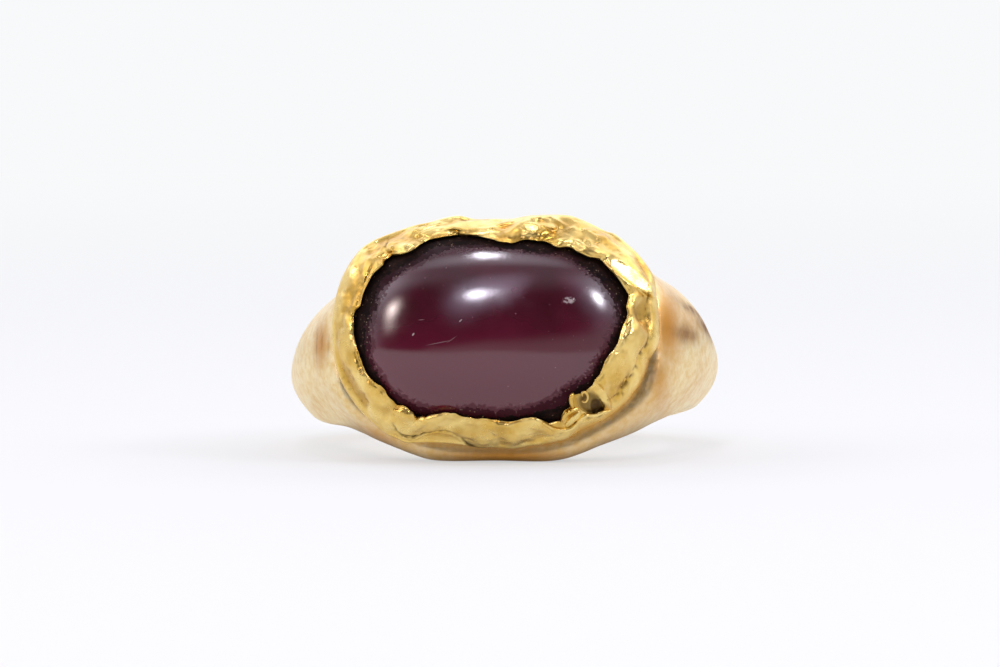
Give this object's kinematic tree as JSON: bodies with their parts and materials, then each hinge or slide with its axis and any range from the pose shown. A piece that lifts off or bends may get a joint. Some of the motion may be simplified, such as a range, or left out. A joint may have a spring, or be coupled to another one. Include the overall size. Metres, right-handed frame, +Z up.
{
  "type": "gold finger ring with a garnet cabochon in a pressed sheet-gold collar",
  "caption": "Gold finger ring with wide D-section shoulders and a tall oval garnet cabochon held by a crumpled, torn collar of sheet gold, lying on its side.",
  "frame": {"origin": "centre of the part's box in X and Y, on the surface the ring lies on", "axes": "+X to the right as one faces the stone, +Y away from the stone, +Z up; the finger's axis leans 12.7 degrees from +Z towards +Y"},
  "size_m": [0.023, 0.025, 0.0129],
  "materials": {
    "hoop_gold": "satin",
    "collar_gold": "gloss",
    "garnet": "gloss"
  },
  "bodies": {
    "root": {"hoop": "hoop_gold", "collar": "collar_gold", "garnet": "garnet"}
  },
  "joints": []
}
